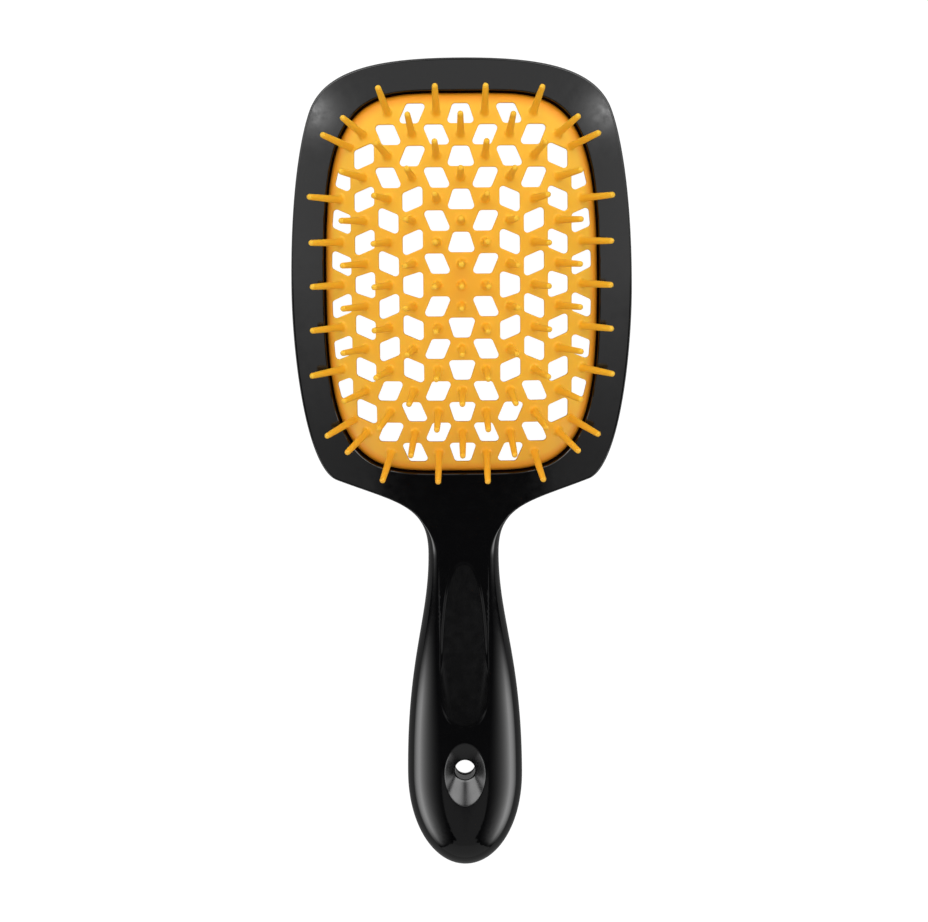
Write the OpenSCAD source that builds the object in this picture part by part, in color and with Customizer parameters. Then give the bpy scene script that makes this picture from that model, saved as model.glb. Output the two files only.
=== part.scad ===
// Vented detangling brush, lying on its back with the pins up.
// X is the width, Y runs from the handle's end to the top of the head, Z is up.
// The origin is under the middle of the brush, on the surface that it lies on.

/* [Brush] */
// Whole length, from the top of the head to the end of the handle
brush_length = 215; // [200:1:235]
// From the top of the head to its widest line
head_to_widest = 60; // [56:0.5:64]
// From the window in the head to the narrowest part of the neck
shoulder_length = 21.4; // [19:0.2:26]
// Width of the neck
neck_width = 18.7; // [16:0.1:24]
// Width of the handle at its belly
belly_width = 30.8; // [26:0.1:36]
// From the belly's widest line to the end of the handle
belly_to_end = 25.2; // [22:0.1:32]

/* [Shells] */
// Height of the plane where the two shells meet
parting_height = 5.5; // [4.5:0.1:6.5]
// Thickness of the frame round the pad
frame_thickness = 9.5; // [8.8:0.1:12]
// Thickness of the neck
neck_thickness = 9.8; // [9.2:0.1:12]
// Thickness of the handle at its belly
belly_thickness = 13.5; // [12.4:0.1:16]
// Wall of both shells
shell_wall = 2; // [1.6:0.1:2.6]
// How far the frame's rounded edge reaches in
frame_edge = 1.2; // [0.9:0.1:3]
// How far the rounded edge of the handle's back reaches in
handle_back_edge = 7; // [5:0.1:8]
// Thickness of the stiffening ribs
rib_thickness = 1.4; // [1:0.1:2]
// Number of ribs across the handle
rib_count = 4; // [2:1:6]
// Diameter of the pegs that line the shells up
peg_diameter = 3; // [2.4:0.1:3.6]
// Depth of the peg sockets
peg_depth = 2.5; // [2:0.1:3]
// Gap between a peg and its socket, on each side
peg_clearance = 0.1; // [0.05:0.01:0.2]

/* [Pad window] */
// Width of the window in the frame
window_width = 72.6; // [70:0.2:75]
// Length of the window in the frame
window_length = 100.2; // [97:0.2:102]
// Width of the frame beside the window, where the head is widest
frame_side = 8.3; // [7:0.1:10]
// Width of the frame above the window
frame_top = 8.2; // [7:0.1:10]
// Wall between the pocket for the pad's flange and the hollow of the shells
collar_wall = 1.7; // [1.2:0.1:2]
// Thickness of the ledge that closes the gap round the pad, over the flange
ledge_thickness = 1.1; // [0.8:0.1:1.6]

/* [Pad] */
// Gap between the pad and the edge of the window
pad_gap = 0.9; // [0.6:0.05:1.2]
// How far the pad's rim lies below the frame's face
pad_sink = 1.6; // [1:0.1:2.4]
// Height of the pad's crown over its rim
pad_crown = 8.8; // [6:0.1:11]
// Thickness of the pad
pad_thickness = 1.9; // [1.6:0.1:2.4]
// How far the pad's flange reaches under the frame
flange_reach = 2.8; // [2.2:0.1:3]
// Thickness of the pad's flange
flange_thickness = 1.6; // [1.2:0.1:2]
// Clearance round the flange in its pocket
flange_clearance = 0.1; // [0.05:0.01:0.2]
// Distance between neighbouring columns of openings
column_pitch = 6.23; // [6.1:0.01:6.4]
// Distance between neighbouring rows of openings
row_pitch = 5.49; // [5.4:0.01:5.65]
// What an opening lacks of a column's pitch across the brush
strut_across = 1.03; // [0.9:0.01:2]
// What an opening lacks of a row's pitch along the brush
strut_along = 0.29; // [0.2:0.01:1.4]
// How far an opening leans from one parallel edge to the other
opening_lean = 2.2; // [1.4:0.1:2.4]
// Rounding of an opening's corners
opening_corner = 0.6; // [0.4:0.05:0.9]
// Solid band along the pad's rim that no opening crosses
opening_margin = 1.6; // [1.2:0.1:2.4]
// Least distance from the last column of pins to the pad's rim
side_border = 2.5; // [2.2:0.1:4]
// Least distance from the last row of pins to the pad's rim
end_border = 3; // [2.6:0.1:4.4]

/* [Pins] */
// Length of a pin
pin_length = 15; // [11:0.1:17]
// Diameter of a pin at its root
pin_root = 2.1; // [1.9:0.05:2.5]
// Diameter of a pin near its tip
pin_tip = 1.5; // [1.2:0.05:1.8]
// Diameter of the flare that joins a pin to the pad
pin_flare = 4; // [3:0.1:4.4]
// Height of the flare over the pad
flare_height = 0.8; // [0.5:0.05:1.2]
// Length of the blunted end of a pin
pin_round = 0.5; // [0.4:0.05:0.8]
// Sides of a pin
pin_sides = 6; // [4:1:8]

/* [Hang hole] */
// Diameter of the hang hole
hang_diameter = 5.4; // [4.6:0.1:6]
// From the end of the handle to the hang hole
hang_from_end = 27.1; // [26:0.1:29]
// Width of the dish round the hang hole
dish_width = 11.6; // [9.8:0.1:12.4]
// Length of the dish round the hang hole
dish_length = 17.2; // [14:0.1:18]
// Depth of the dish in the front
dish_depth = 3.2; // [2:0.1:4.6]
// Depth of the dish in the back
back_dish_depth = 3; // [2:0.1:3.4]
// Flat ring between a dish and the edge of the hole
hang_lip = 0.3; // [0.2:0.05:0.6]

/* [Thumb rest] */
// Length of the shallow recess for the thumb
thumb_length = 44; // [36:0.5:46]
// Width of the recess at its widest
thumb_width = 13.2; // [9:0.1:14]
// From the end of the handle to the lower end of the recess
thumb_from_end = 39.4; // [38:0.1:46]
// Depth of the recess
thumb_depth = 0.2; // [0.1:0.05:0.6]

/* [Hidden] */

shell_colour = "#161618";
pad_colour = "#fbb03b";
tiny = 0.01;
overrun = 1;

head_width = window_width + 2 * frame_side;
head_to_neck = frame_top + window_length + shoulder_length;

// Places along the brush
top_y = brush_length / 2;
end_y = -brush_length / 2;
widest_y = top_y - head_to_widest;
neck_y = top_y - head_to_neck;
belly_y = end_y + belly_to_end;
window_y = top_y - frame_top - window_length / 2;
shoulder_y = window_y - window_length / 2;
hang_y = end_y + hang_from_end;

// The outline's curves, each by four points, in shares of the sizes that they follow
top_shares = [[0, 1], [0.425, 1], [0.747, 0.965], [0.861, 0.805]];
upper_side_shares = [[0.861, 0.805], [0.904, 0.747], [1, 0.497], [1, 0]];
lower_side_shares = [[1, 0], [1, 0.234], [0.933, 0.669], [0.747, 0.715]];
shoulder_shares = [[0.747, 0.715], [0.386, 0.804]];
neck_start_share = 0.812;
neck_leave_share = 0.298;
belly_meet_share = 0.468;
end_shares = [[1, 0], [1, 0.58], [0.56, 1], [0, 1]];
curve_steps = 8;
edge_steps = 5;
medial_share = 0.97;
neck_round_share = 0.25;

function bezier(c, t) =
    pow(1 - t, 3) * c[0] + 3 * pow(1 - t, 2) * t * c[1] + 3 * (1 - t) * t * t * c[2] + pow(t, 3) * c[3];
function curve(c, steps = curve_steps) = [for (s = [0:steps - 1]) bezier(c, s / steps)];
function placed(shares, wide, y, reach) = [for (s = shares) [s[0] * wide, y + s[1] * reach]];
function ease(t) = t <= 0 ? 0 : t >= 1 ? 1 : t * t * (3 - 2 * t);
function mix(a, b, t) = a + (b - a) * t;

// The right half of the outline, from the top of the head to the end of the handle
function right_half() =
    let (wide = head_width / 2, neck = neck_width / 2, belly = belly_width / 2,
         drop = neck_y - widest_y, grip = belly_y - neck_y)
    concat(
        curve(placed(top_shares, wide, widest_y, head_to_widest)),
        curve(placed(upper_side_shares, wide, widest_y, head_to_widest)),
        curve(placed(lower_side_shares, wide, widest_y, drop)),
        curve(concat(placed(shoulder_shares, wide, widest_y, drop),
                     [[neck, widest_y + neck_start_share * drop], [neck, neck_y]]), 2 * curve_steps),
        curve([[neck, neck_y], [neck, neck_y + neck_leave_share * grip],
               [belly, neck_y + belly_meet_share * grip], [belly, belly_y]]),
        curve(placed(end_shares, belly, belly_y, -belly_to_end)),
        [[0, end_y]]);

right_points = right_half();
last = len(right_points) - 1;
ring_count = 2 * last;
outline = concat(right_points, [for (i = [last - 1:-1:1]) [-right_points[i][0], right_points[i][1]]]);

function unit(v) = v / norm(v);
function outward(i) =
    let (a = outline[(i + ring_count - 1) % ring_count], b = outline[(i + 1) % ring_count], d = unit(b - a))
    [-d[1], d[0]];
normals = [for (i = [0:ring_count - 1]) outward(i)];

// Distance along the normal to the brush's middle line, no more than the belly's half width
function to_middle(i) =
    i == last ? to_middle(last - 1)
    : min(belly_width / 2, abs(normals[i][0]) < tiny ? belly_width / 2 : abs(outline[i][0] / normals[i][0]));

// How much of the handle's section a place along the brush has: 0 on the head, 1 from the neck down
function handle_share(y) = ease((shoulder_y - y) / (shoulder_y - neck_y));
function front_height(y) =
    y > neck_y ? mix(frame_thickness, neck_thickness, handle_share(y))
    : mix(neck_thickness, belly_thickness, ease((neck_y - y) / (neck_y - belly_y)));

// How far the rounded edge has grown into the full round of the belly
function round_share(y) =
    mix(ease((neck_y - y) / (neck_y - belly_y)), handle_share(y), neck_round_share);

front_rises = [for (p = outline) front_height(p[1]) - parting_height];
front_insets = [for (i = [0:ring_count - 1])
    mix(frame_edge, medial_share * to_middle(i), round_share(outline[i][1]))];
back_rises = [for (p = outline) parting_height];
back_insets = [for (i = [0:ring_count - 1])
    mix(frame_edge, min(handle_back_edge, medial_share * to_middle(i)), round_share(outline[i][1]))];

// Solid over the parting plane, with its edge rounded to the given rise and inset at each outline point
module rounded_half(rises, insets, wall = 0) {
    levels = edge_steps + 1;
    points = [for (k = [0:edge_steps], i = [0:ring_count - 1])
        let (turn = 90 * k / edge_steps, reach = max(insets[i] - wall, wall / 2),
             p = outline[i] - normals[i] * (wall + reach * (1 - cos(turn))))
        [p[0], p[1], (rises[i] - wall) * sin(turn)]];
    cap = edge_steps * ring_count;
    sides = [for (k = [0:edge_steps - 1], i = [0:ring_count - 1])
        let (a = k * ring_count + i, b = k * ring_count + (i + 1) % ring_count)
        each [[a, b, b + ring_count], [a, b + ring_count, a + ring_count]]];
    ladder = [for (i = [0:last - 1])
        let (r = i, s = i + 1, t = (ring_count - i - 1) % ring_count, u = (ring_count - i) % ring_count)
        each concat(u == r ? [] : [[r, t, u]], s == t ? [] : [[r, s, t]])];
    top = [for (f = ladder) [cap + f[0], cap + f[1], cap + f[2]]];
    floor_faces = [for (f = ladder) [f[0], f[2], f[1]]];
    polyhedron(points, concat(sides, top, floor_faces), convexity = 8);
}

// Outline of the pad's rim, its half sizes grown by a margin
rim_power = 4.4;
rim_draw_share = 0.085;
rim_steps = 40;
rim_half_width = window_width / 2 - pad_gap;
rim_half_length = window_length / 2 - pad_gap;
function draw_in(v) = 1 - rim_draw_share * v * v;
function rim_point(turn, margin = 0) =
    let (c = cos(turn), s = sin(turn), v = sign(s) * pow(abs(s), 2 / rim_power))
    [(rim_half_width + margin) * sign(c) * pow(abs(c), 2 / rim_power) * draw_in(v),
     (rim_half_length + margin) * v];
module rim_outline(margin, steps = rim_steps) {
    translate([0, window_y]) polygon([for (m = [0:steps - 1]) rim_point(360 * m / steps, margin)]);
}

// Height of the pad's crown at a place measured from the window's middle
crown_power_across = 2.6;
crown_power_along = 3.5;
rim_height = frame_thickness - pad_sink;
function rim_share(p) =
    let (v = min(1, abs(p[1]) / rim_half_length), u = abs(p[0]) / rim_half_width / draw_in(v))
    pow(pow(u, rim_power) + pow(v, rim_power), 1 / rim_power);
function crown_power(p) =
    let (u = pow(p[0] / rim_half_width, 2), v = pow(p[1] / rim_half_length, 2))
    u + v < tiny * tiny ? crown_power_across : mix(crown_power_along, crown_power_across, u / (u + v));
function crown_at(p) = pad_crown * (1 - pow(min(1, rim_share(p)), crown_power(p)));
slope_step = pin_root / 10;
function crown_slope(p) =
    let (d = slope_step)
    [(crown_at(p + [d, 0]) - crown_at(p - [d, 0])) / (2 * d),
     (crown_at(p + [0, d]) - crown_at(p - [0, d])) / (2 * d)];

// The pad with no openings: rings of points over the crown, down the skirt, round the flange
// and back under the crown
crown_shares = [0.42, 0.64, 0.82, 1];
crown_turns = 28;
flange_margin = pad_gap + flange_reach;
flange_top = parting_height - flange_clearance;
function ring(points, z) = [for (p = points) [p[0], p[1], z]];
function rim_ring(margin, z) = ring([for (m = [0:crown_turns - 1]) rim_point(360 * m / crown_turns, margin)], z);
function crown_ring(share, margin, lift) =
    [for (p = rim_ring(margin, 0)) [p[0] * share, p[1] * share, rim_height + crown_at([p[0], p[1]] * share) + lift]];
module crowned_sheet() {
    rings = concat(
        [for (share = crown_shares) crown_ring(share, 0, 0)],
        [rim_ring(0, flange_top), rim_ring(flange_margin, flange_top),
         rim_ring(flange_margin, flange_top - flange_thickness),
         rim_ring(-pad_thickness, flange_top - flange_thickness)],
        [for (k = [len(crown_shares) - 1:-1:0]) crown_ring(crown_shares[k], -pad_thickness, -pad_thickness)]);
    count = len(rings);
    middle_top = [0, 0, rim_height + pad_crown];
    bands = [for (k = [0:count - 2], m = [0:crown_turns - 1])
        let (a = k * crown_turns + m, b = k * crown_turns + (m + 1) % crown_turns)
        each [[a, b, b + crown_turns], [a, b + crown_turns, a + crown_turns]]];
    first = count * crown_turns;
    fans = [for (m = [0:crown_turns - 1])
        let (n = (m + 1) % crown_turns, low = (count - 1) * crown_turns)
        each [[first, n, m], [first + 1, low + m, low + n]]];
    translate([0, window_y])
        polyhedron(concat([for (r = rings) each r], [middle_top, middle_top - [0, 0, pad_thickness]]),
                   concat(bands, fans), convexity = 8);
}

// Corners of one opening: a leaning or tapering four-sided figure with two level edges
opening_width = column_pitch - strut_across;
opening_length = row_pitch - strut_along;
function leaning(edge, height, lean) =
    let (e = edge / 2, h = height / 2)
    [[-e - lean / 2, -h], [e - lean / 2, -h], [e + lean / 2, h], [-e + lean / 2, h]];
function tapering(edge, height) =
    let (wide = (edge + opening_lean) / 2, narrow = (edge - opening_lean / 2) / 2, h = height / 2)
    [[-wide, -h], [wide, -h], [narrow, h], [-narrow, h]];
function turned(points) = [for (p = points) [p[1], p[0]]];

// Columns and rows are numbered out from the pad's middle, and openings and pins take turns.
// The last columns have odd numbers and the last rows even ones.
column_reach = 1 + 2 * floor(((rim_half_width - side_border) / column_pitch - 1) / 2);
row_reach = 2 * floor((rim_half_length - end_border) / row_pitch / 2);
last_side_row = row_reach - 3;
function is_opening(i, j) =
    (i + j) % 2 == 0 && !(i == 0 && j == 0)
    && !(abs(i) == column_reach && abs(j) > last_side_row)
    && !(abs(i) == column_reach - 1 && abs(j) == row_reach);
// Openings near the middle line and in the end rows have their parallel edges across the brush
function level_edges(i, j) = abs(i) <= 1 || (abs(i) < column_reach - 1 && abs(j) >= last_side_row);
function side_of(i) = (i % 2 == 0 ? -1 : 1) * sign(i);
function opening_points(i, j) =
    let (lean = side_of(i) * sign(j) * opening_lean)
    i == 0 ? [for (p = tapering(opening_width, opening_length)) [p[0], p[1] * sign(j)]]
    : j == 0 ? [for (p = turned(tapering(opening_length, opening_width))) [p[0] * sign(i), p[1]]]
    : level_edges(i, j) ? leaning(opening_width, opening_length, lean)
    : turned(leaning(opening_length, opening_width, lean));

// A four-sided figure with each corner cut off short
function blunted(c) =
    [for (k = [0:3]) each [c[k] + opening_corner * unit(c[(k + 3) % 4] - c[k]),
                           c[k] + opening_corner * unit(c[(k + 1) % 4] - c[k])]];
module opening(i, j) {
    translate([i * column_pitch, j * row_pitch]) polygon(blunted(opening_points(i, j)));
}

module all_openings() {
    intersection() {
        translate([0, window_y])
            for (i = [-column_reach:column_reach], j = [-row_reach:row_reach])
                if (is_opening(i, j)) opening(i, j);
        rim_outline(-opening_margin);
    }
}

// The four corner pins and their neighbours stand a little inside their places
corner_shift_share = 0.43;
function is_pin(i, j) = (i == 0 && j == 0)
    || ((i + j) % 2 != 0 && !(abs(i) == column_reach && abs(j) >= row_reach));
function pin_place(i, j) =
    abs(i) == column_reach && abs(j) == row_reach - 2
    ? [sign(i) * (abs(i) - corner_shift_share) * column_pitch, sign(j) * (abs(j) + corner_shift_share) * row_pitch]
    : [i * column_pitch, j * row_pitch];

// Half of a pin's section: the flare out of the pad, the taper and the blunted end
blunt_share = 0.55;
module pin_section() {
    polygon([[0, -pad_thickness / 2], [pin_flare / 2, -pad_thickness / 2], [pin_root / 2, flare_height],
             [pin_tip / 2, pin_length - pin_round], [blunt_share * pin_tip / 2, pin_length], [0, pin_length]]);
}

module pin(i, j) {
    place = pin_place(i, j);
    slope = crown_slope(place);
    lean = unit([-slope[0], -slope[1], 1]);
    translate([place[0], window_y + place[1], rim_height + crown_at(place)])
        rotate([0, acos(lean[2]), atan2(lean[1], lean[0])])
            rotate_extrude($fn = pin_sides) pin_section();
}

module pin_pad() {
    color(pad_colour)
        union() {
            difference() {
                crowned_sheet();
                linear_extrude(frame_thickness + pad_crown + overrun) all_openings();
            }
            for (i = [-column_reach:column_reach], j = [-row_reach:row_reach])
                if (is_pin(i, j)) pin(i, j);
        }
}

// Ribs, the peg posts and the block round the hang hole, which the hollow leaves standing
peg_wall = 1.7;
peg_places = [[0, neck_y + peg_diameter], [0, (neck_y + belly_y) / 2]];
hang_block = dish_width / 2 + shell_wall;
collar_margin = flange_margin + flange_clearance + collar_wall;
module kept_inside() {
    height = belly_thickness + overrun;
    linear_extrude(height) rim_outline(collar_margin);
    for (p = peg_places)
        translate(p) cylinder(h = height, d = peg_diameter + 2 * (peg_clearance + peg_wall));
    for (s = [-1, 1])
        translate([0, hang_y + s * (dish_length - dish_width) / 2])
            cylinder(h = height, r = hang_block);
    for (n = [1:rib_count])
        translate([-belly_width / 2, mix(neck_y, hang_y + hang_block, n / (rib_count + 1)) - rib_thickness / 2])
            cube([belly_width, rib_thickness, height]);
}

// One moulded shell over the parting plane: hollow, with the window through it
module moulded_half(rises, insets) {
    difference() {
        rounded_half(rises, insets);
        difference() {
            translate([0, 0, -tiny]) rounded_half(rises, insets, shell_wall);
            translate([0, 0, -overrun]) kept_inside();
        }
        translate([0, 0, -overrun])
            linear_extrude(frame_thickness + 2 * overrun) rim_outline(pad_gap);
    }
}

// The front shell's ledge, which reaches over the flange to the pad
module flange_ledge() {
    linear_extrude(ledge_thickness)
        difference() {
            rim_outline(pad_gap + collar_wall / 2);
            rim_outline(flange_clearance, crown_turns);
        }
}

// A scoop round the hang hole, an oval at height zero that narrows to the hole at the depth given
module dish(depth) {
    hull() {
        translate([0, hang_y]) scale([dish_width, dish_length, 1]) cylinder(h = overrun, d = 1, $fn = 32);
        translate([0, hang_y, -depth]) cylinder(h = depth, d = hang_diameter + 2 * hang_lip, $fn = 32);
    }
}

module hang_bore() {
    translate([0, hang_y, -overrun])
        cylinder(h = belly_thickness + 2 * overrun, d = hang_diameter, $fn = 48);
}

// The thumb rest's outline, an egg with its narrow end towards the head
thumb_upper_shares = [[0, 1], [0.85, 1], [0.84, 0.6], [1, 0.27]];
thumb_lower_shares = [[1, 0.27], [1.06, 0.1], [0.66, 0], [0, 0]];
module thumb_outline() {
    half = concat(
        curve(placed(thumb_upper_shares, thumb_width / 2, end_y + thumb_from_end, thumb_length)),
        curve(placed(thumb_lower_shares, thumb_width / 2, end_y + thumb_from_end, thumb_length)));
    n = len(half);
    polygon(concat(half, [[0, end_y + thumb_from_end]], [for (i = [n - 1:-1:1]) [-half[i][0], half[i][1]]]));
}

module thumb_recess() {
    difference() {
        linear_extrude(belly_thickness) thumb_outline();
        rounded_half([for (r = front_rises) r - thumb_depth], front_insets);
    }
}

module front_shell() {
    color(shell_colour)
        difference() {
            translate([0, 0, parting_height])
                difference() {
                    union() {
                        moulded_half(front_rises, front_insets);
                        flange_ledge();
                    }
                    thumb_recess();
                    for (p = peg_places)
                        translate([p[0], p[1], -overrun])
                            cylinder(h = peg_depth + peg_clearance + overrun,
                                     d = peg_diameter + 2 * peg_clearance);
                }
            translate([0, 0, belly_thickness]) dish(dish_depth);
            hang_bore();
        }
}

module back_shell() {
    color(shell_colour) {
        difference() {
            translate([0, 0, parting_height]) mirror([0, 0, 1]) moulded_half(back_rises, back_insets);
            translate([0, 0, flange_top - flange_thickness])
                linear_extrude(flange_thickness + overrun) rim_outline(flange_margin + flange_clearance);
            mirror([0, 0, 1]) dish(back_dish_depth);
            hang_bore();
        }
        for (p = peg_places)
            translate([p[0], p[1], parting_height - shell_wall])
                cylinder(h = peg_depth + shell_wall, d = peg_diameter);
    }
}

front_shell();
back_shell();
pin_pad();
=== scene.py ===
# %% [markdown]
# # A vented detangling brush
# The real brush is three mouldings. Two gloss black shells are welded face to face and make the handle and the
# frame, and between them they clamp the flange of a soft orange pad, which has its openings and its pins moulded in.
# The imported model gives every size. This script builds a fine surface for each moulding around it, and the finish.

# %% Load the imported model
import math

import bmesh
import bpy
import numpy as np
from mathutils import Matrix, Vector
from mathutils.geometry import delaunay_2d_cdt
from mathutils.kdtree import KDTree


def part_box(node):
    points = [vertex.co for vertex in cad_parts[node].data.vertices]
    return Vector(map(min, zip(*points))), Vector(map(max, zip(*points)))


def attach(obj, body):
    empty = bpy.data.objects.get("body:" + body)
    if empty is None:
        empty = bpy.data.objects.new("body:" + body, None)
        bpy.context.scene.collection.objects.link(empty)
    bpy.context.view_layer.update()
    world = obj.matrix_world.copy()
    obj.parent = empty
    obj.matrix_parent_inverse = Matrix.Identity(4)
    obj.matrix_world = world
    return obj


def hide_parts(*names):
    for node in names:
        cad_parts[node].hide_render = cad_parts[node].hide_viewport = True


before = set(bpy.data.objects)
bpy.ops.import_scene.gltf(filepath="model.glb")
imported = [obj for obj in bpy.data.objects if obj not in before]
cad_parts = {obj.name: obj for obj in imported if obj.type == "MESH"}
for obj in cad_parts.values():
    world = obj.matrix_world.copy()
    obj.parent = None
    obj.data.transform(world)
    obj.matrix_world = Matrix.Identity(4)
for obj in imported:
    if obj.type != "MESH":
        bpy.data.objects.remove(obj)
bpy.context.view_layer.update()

MM = 0.001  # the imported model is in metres, and everything below is worked out in millimetres


def box_mm(node):
    return [np.array(corner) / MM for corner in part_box(node)]


shell_low, shell_high = box_mm("front_shell")
half_width, top_y, end_y = shell_high[0], shell_high[1], shell_low[1]
parting, belly_height = shell_low[2], shell_high[2]
print(f"body {2 * half_width:.1f} x {top_y - end_y:.1f} mm, shells meet at {parting:.1f}, belly {belly_height:.1f} mm")

# %% [markdown]
# ## The outline
# Seen from above, the body is one smooth closed line: a rounded rectangle for the head, a swoop into the neck, and
# a long drop shape for the handle. A chain of cubic curves draws it. Each curve needs four points, and they are
# written as shares of the widths and lengths that they follow, so the line keeps its character at any size.

# %% The outline's curves
head_to_widest, head_to_neck, belly_to_end = 60.0, 129.8, 25.2
neck_half, belly_half = 9.35, 15.4
widest_y, neck_y, belly_y = top_y - head_to_widest, top_y - head_to_neck, end_y + belly_to_end


def curve(wide, y, reach, shares, steps):
    """Points of a cubic curve. Its four points are shares of a width and of a reach from y."""
    a, b, c, d = np.array(shares) * [wide, reach] + [0, y]
    t = np.arange(steps)[:, None] / steps
    return (1 - t) ** 3 * a + 3 * (1 - t) ** 2 * t * b + 3 * (1 - t) * t**2 * c + t**3 * d


drop, grip = neck_y - widest_y, belly_y - neck_y
neck_share, belly_share = neck_half / half_width, neck_half / belly_half
right_side = np.vstack([
    curve(half_width, widest_y, head_to_widest, [[0, 1], [0.425, 1], [0.747, 0.965], [0.861, 0.805]], 40),
    curve(half_width, widest_y, head_to_widest, [[0.861, 0.805], [0.904, 0.747], [1, 0.497], [1, 0]], 44),
    curve(half_width, widest_y, drop, [[1, 0], [1, 0.234], [0.933, 0.669], [0.747, 0.715]], 50),
    curve(half_width, widest_y, drop, [[0.747, 0.715], [0.386, 0.804], [neck_share, 0.812], [neck_share, 1]], 40),
    curve(belly_half, neck_y, grip, [[belly_share, 0], [belly_share, 0.298], [1, 0.468], [1, 1]], 54),
    curve(belly_half, belly_y, -belly_to_end, [[1, 0], [1, 0.58], [0.56, 1], [0, 1]], 40),
    [[0, end_y]]])
outline = np.vstack([right_side, right_side[-2:0:-1] * [-1, 1]])
count = len(outline)
along = np.roll(outline, -1, 0) - np.roll(outline, 1, 0)
outward = np.column_stack([-along[:, 1], along[:, 0]]) / np.linalg.norm(along, axis=1)[:, None]
print("outline:", count, "points")

# %% [markdown]
# ## The height of the shells
# Each shell rises from the plane where the two meet. Near the outline it follows a quarter of an ellipse, and then
# it runs level. On the head that rounded edge is narrow. On the handle it reaches to the middle, which makes the
# full round that fills a hand. So the height at any place needs two things: how far the outline is, and how wide the
# rounded edge is there.

# %% Heights of the front and the back
frame_height, neck_height = 9.5, 9.8
frame_edge, handle_back_edge, medial_share = 0.7, 7.0, 0.97
frame_top, frame_side, shoulder_length = 8.2, 8.3, 21.4
batch = 1500  # how many places are measured at once
shoulder_y = neck_y + shoulder_length


def ease(t):
    t = np.clip(t, 0, 1)
    return t * t * (3 - 2 * t)


def front_rise(y):
    """Height of the front's level part over the parting plane."""
    on_head = frame_height + (neck_height - frame_height) * ease((shoulder_y - y) / (shoulder_y - neck_y))
    on_grip = (belly_height - neck_height) * ease((neck_y - y) / (neck_y - belly_y))
    return on_head + on_grip - parting


def back_rise(y):
    return np.full(np.shape(y), parting)


to_middle = np.minimum(belly_half, np.abs(outline[:, 0]) / np.maximum(np.abs(outward[:, 0]), 1e-6))
tip = len(right_side) - 1
to_middle[tip] = to_middle[tip - 1]
to_middle[0] = belly_half
neck_roundness, neck_soft_length = 0.25, 9.0
on_handle = (neck_roundness * ease((neck_y + neck_soft_length - outline[:, 1]) / neck_soft_length)
             + (1 - neck_roundness) * ease((neck_y - outline[:, 1]) / (neck_y - belly_y)))
front_edge = frame_edge + (medial_share * to_middle - frame_edge) * on_handle
back_edge = frame_edge + (np.minimum(handle_back_edge, medial_share * to_middle) - frame_edge) * on_handle


def to_outline(places, edge):
    """Distance of each place from the outline, and the width of the rounded edge at the nearest point of it."""
    start, step = outline, np.roll(outline, -1, 0) - outline
    distance, width = np.empty(len(places)), np.empty(len(places))
    for first in range(0, len(places), batch):
        part = places[first:first + batch, None, :]
        t = np.clip(((part - start) * step).sum(2) / (step**2).sum(1), 0, 1)
        gap = np.linalg.norm(part - start - t[:, :, None] * step, axis=2)
        near = gap.argmin(1)
        rows = np.arange(len(near))
        share = t[rows, near]
        distance[first:first + batch] = gap[rows, near]
        width[first:first + batch] = edge[near] * (1 - share) + edge[(near + 1) % count] * share
    return distance, width


def shell_height(places, rise, edge):
    distance, width = to_outline(places, edge)
    return rise(places[:, 1]) * np.sqrt(1 - (1 - np.clip(distance / width, 0, 1)) ** 2)


print(f"rounded edge in front: {front_edge.min():.1f} mm on the head, {front_edge.max():.1f} mm on the handle")

# %% [markdown]
# ## A skin of rings and fills
# A smooth gloss surface shows every careless face, so nothing here is cut with booleans. Each moulding is a skin
# made in two ways. Where the shape runs along an edge, rings of points are joined into strips of four-sided faces.
# Where a surface spreads out between edges, its inside is filled with an even grid of points, and a constrained
# Delaunay triangulation joins grid and edges. The filled points get the true normal of the surface that they lie
# on, so the triangles never show in a reflection.

# %% Slopes, and what lies inside a loop
def slopes(surface, places, short_step=0.02, long_step=0.35):
    """Rise of a surface across and along the brush, measured over a longer step on the broad round of the handle."""
    step = np.where(places[:, 1] < neck_y, long_step, short_step)
    rises = []
    for way in ([1, 0], [0, 1]):
        shift = step[:, None] * way
        rises.append((surface(places + shift) - surface(places - shift)) / (2 * step))
    return np.column_stack(rises)


def is_within(places, tails, heads):
    """Whether a line from each place crosses the loops' edges an odd number of times."""
    result = np.zeros(len(places), bool)
    for first in range(0, len(places), batch):
        x, y = places[first:first + batch, 0, None], places[first:first + batch, 1, None]
        spans = (tails[:, 1] > y) != (heads[:, 1] > y)
        rise = np.where(heads[:, 1] == tails[:, 1], 1, heads[:, 1] - tails[:, 1])
        crossing = tails[:, 0] + (y - tails[:, 1]) * (heads[:, 0] - tails[:, 0]) / rise
        result[first:first + batch] = (spans & (x < crossing)).sum(1) % 2 == 1
    return result


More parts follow.
